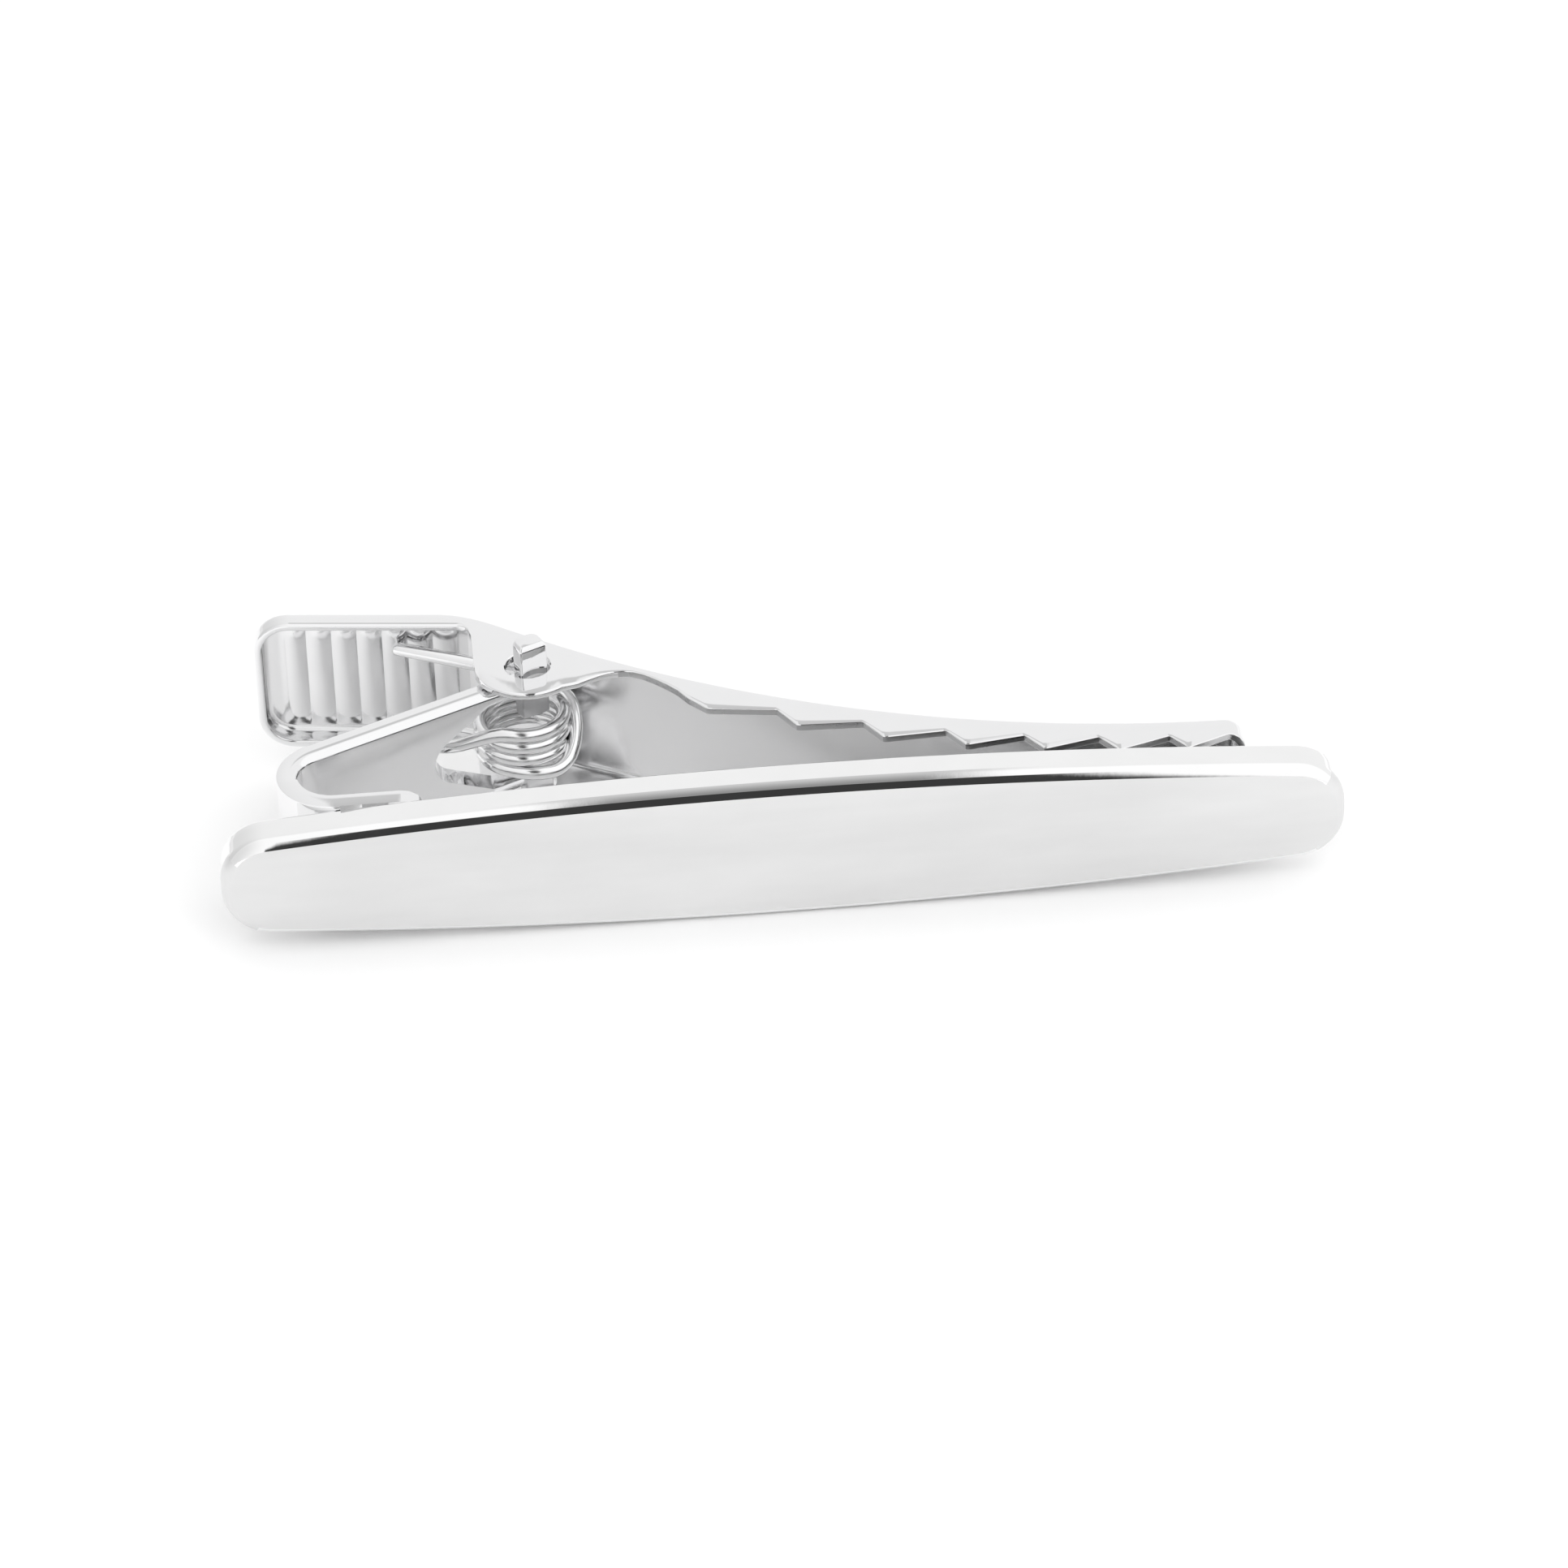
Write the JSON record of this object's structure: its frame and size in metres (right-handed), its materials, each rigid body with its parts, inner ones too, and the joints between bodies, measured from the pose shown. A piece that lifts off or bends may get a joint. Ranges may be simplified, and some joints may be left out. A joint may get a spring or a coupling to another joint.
{
  "type": "tie clip",
  "caption": "Solid tapered tie bar with a satin front; a spring-loaded lever with a toothed, channel-shaped jaw and a ribbed thumb tab, hinged behind it, grips the tie against the bar's back.",
  "frame": {"origin": "middle of the bar's flat front face", "axes": "+X along the bar from the thumb tab's end to the nose, +Y from the front face to the clip behind it, +Z across the bar; the object stands on its lower long edge"},
  "size_m": [0.05, 0.0172, 0.0097],
  "materials": {
    "satin_bar": "lengthwise satin front, polished bevel, sides and ends",
    "solder": "plated over",
    "bright_plate": "bright plate",
    "spring_wire": "bright drawn wire"
  },
  "bodies": {
    "bar": {"front_bar": "satin_bar", "solder_seam": "solder", "bracket": "bright_plate", "torsion_spring": "spring_wire"},
    "jaw": {"jaw_lever": "bright_plate"}
  },
  "joints": [
    {"name": "jaw_pivot", "type": "hinge", "parent": "bar", "child": "jaw", "pos_m": [-0.01064, 0.01122, 0], "axis": [0, 0, 1], "range_deg": [0, 30], "stiffness_Nm_per_rad": 0.02, "springref_deg": -11.46, "deforming": ["torsion_spring"]}
  ]
}
